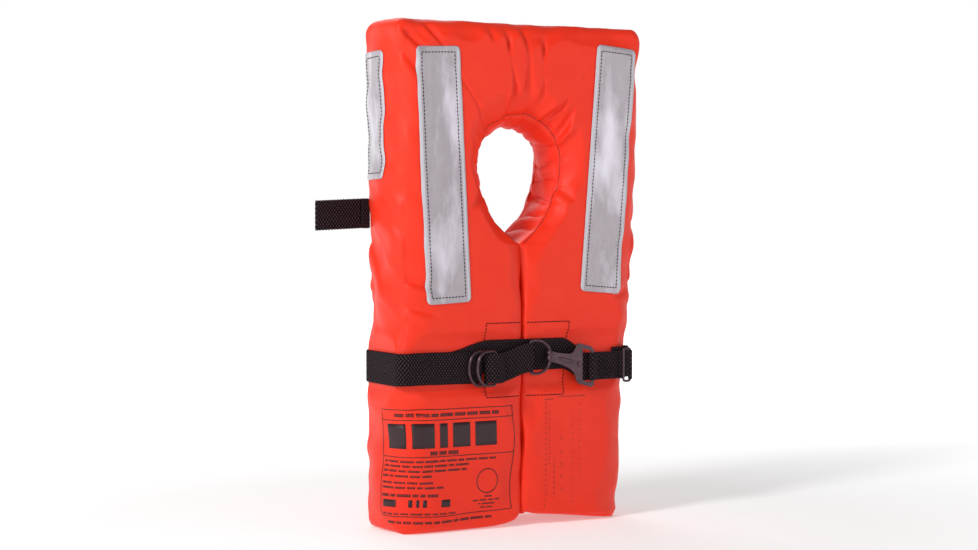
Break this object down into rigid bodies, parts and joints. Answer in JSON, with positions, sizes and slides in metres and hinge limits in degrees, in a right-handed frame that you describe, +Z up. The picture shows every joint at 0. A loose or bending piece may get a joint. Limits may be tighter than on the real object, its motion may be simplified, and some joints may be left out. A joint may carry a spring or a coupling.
{
  "type": "life jacket",
  "caption": "Keyhole life jacket for a child: foam pads in an orange cover with a head hole, front slit, reflective tapes and a hooked webbing belt.",
  "frame": {"origin": "middle of the whole object's footprint, on the floor it stands on", "axes": "+Z up the standing jacket, -Y out of the front with the slit and belt fittings, +X to the right as seen from the front"},
  "size_m": [0.3454, 0.1014, 0.51],
  "materials": {
    "cover_nylon": "woven nylon, slight sheen",
    "reflective_tape": "glossy, finely crinkled",
    "webbing": "ribbed webbing",
    "dark_metal": "dark bronze, satin",
    "foam": "closed-cell foam",
    "patch_cloth": "heavy cloth"
  },
  "bodies": {
    "vest": {"left_front_cover": "cover_nylon", "left_back_cover": "cover_nylon", "left_side_gusset": "cover_nylon", "left_bottom_gusset": "cover_nylon", "left_slit_gusset": "cover_nylon", "left_neck_gusset": "cover_nylon", "left_foam_front": "foam", "left_foam_middle": "foam", "left_foam_back": "foam", "left_reinforcement_patch": "patch_cloth", "right_front_cover": "cover_nylon", "right_back_cover": "cover_nylon", "right_side_gusset": "cover_nylon", "right_bottom_gusset": "cover_nylon", "right_slit_gusset": "cover_nylon", "right_neck_gusset": "cover_nylon", "right_foam_front": "foam", "right_foam_middle": "foam", "right_foam_back": "foam", "right_reinforcement_patch": "patch_cloth", "front_left_tape_lower": "reflective_tape", "front_right_tape_lower": "reflective_tape", "back_left_tape_lower": "reflective_tape", "back_right_tape_lower": "reflective_tape", "main_belt": "webbing", "left_belt_keeper": "webbing", "right_belt_keeper": "webbing", "ring_strap": "webbing", "hook_strap": "webbing", "light_tab_stub": "webbing"},
    "collar": {"collar_front_cover": "cover_nylon", "collar_back_cover": "cover_nylon", "collar_left_gusset": "cover_nylon", "collar_right_gusset": "cover_nylon", "collar_top_gusset": "cover_nylon", "collar_neck_gusset": "cover_nylon", "collar_foam_front": "foam", "collar_foam_middle": "foam", "collar_foam_back": "foam", "front_left_tape_upper": "reflective_tape", "front_right_tape_upper": "reflective_tape", "back_left_tape_upper": "reflective_tape", "back_right_tape_upper": "reflective_tape", "left_side_tape": "reflective_tape", "right_side_tape": "reflective_tape"},
    "belt_tail": {"belt_tail": "webbing"},
    "d_ring_inner": {"d_ring_inner": "dark_metal"},
    "d_ring_outer": {"d_ring_outer": "dark_metal"},
    "hook_ring": {"hook_ring": "dark_metal"},
    "snap_hook": {"snap_hook_body": "dark_metal", "gate_rivet": "dark_metal"},
    "gate": {"snap_hook_gate": "dark_metal"},
    "slide": {"belt_slide": "dark_metal", "slide_loop": "webbing"},
    "light_tab": {"light_tab": "webbing"}
  },
  "joints": [
    {"name": "collar_fold", "type": "hinge", "parent": "vest", "child": "collar", "pos_m": [0.0247, 0.0484, 0.347], "axis": [-1, 0, 0], "range_deg": [0, 70], "stiffness_Nm_per_rad": 0.25},
    {"name": "light_tab_flex", "type": "hinge", "parent": "vest", "child": "light_tab", "pos_m": [-0.1227, 0.0409, 0.319], "axis": [0, 0, 1], "range_deg": [-60, 60], "stiffness_Nm_per_rad": 0.002},
    {"name": "d_ring_swing", "type": "hinge", "parent": "vest", "child": "d_ring_inner", "pos_m": [-0.0223, -0.0436, 0.163], "axis": [0, 0, 1], "range_deg": [0, 90]},
    {"name": "d_ring_outer_swing", "type": "hinge", "parent": "vest", "child": "d_ring_outer", "pos_m": [-0.0148, -0.0476, 0.163], "axis": [0, 0, 1], "range_deg": [0, 90]},
    {"name": "hook_lift", "type": "hinge", "parent": "vest", "child": "snap_hook", "pos_m": [0.1017, -0.0479, 0.161], "axis": [0, 0, 1], "range_deg": [0, 5]},
    {"name": "hook_ring_lift", "type": "hinge", "parent": "vest", "child": "hook_ring", "pos_m": [0.0292, -0.0441, 0.1725], "axis": [0, 0, 1], "range_deg": [-15, 0]},
    {"name": "gate_open", "type": "hinge", "parent": "snap_hook", "child": "gate", "pos_m": [0.0859, -0.0458, 0.1643], "axis": [0, 0, 1], "range_deg": [0, 12], "stiffness_Nm_per_rad": 0.02},
    {"name": "slide_shift", "type": "slide", "parent": "vest", "child": "slide", "axis": [1, 0, 0], "range_m": [-0.025, 0]},
    {"name": "tail_pull", "type": "slide", "parent": "vest", "child": "belt_tail", "axis": [1, 0, 0], "range_m": [-0.01, 0.03]}
  ],
  "couplings": [
    {"joint": "d_ring_outer_swing", "follows": "d_ring_swing", "ratio": 1},
    {"joint": "hook_ring_lift", "follows": "hook_lift", "ratio": -2}
  ]
}
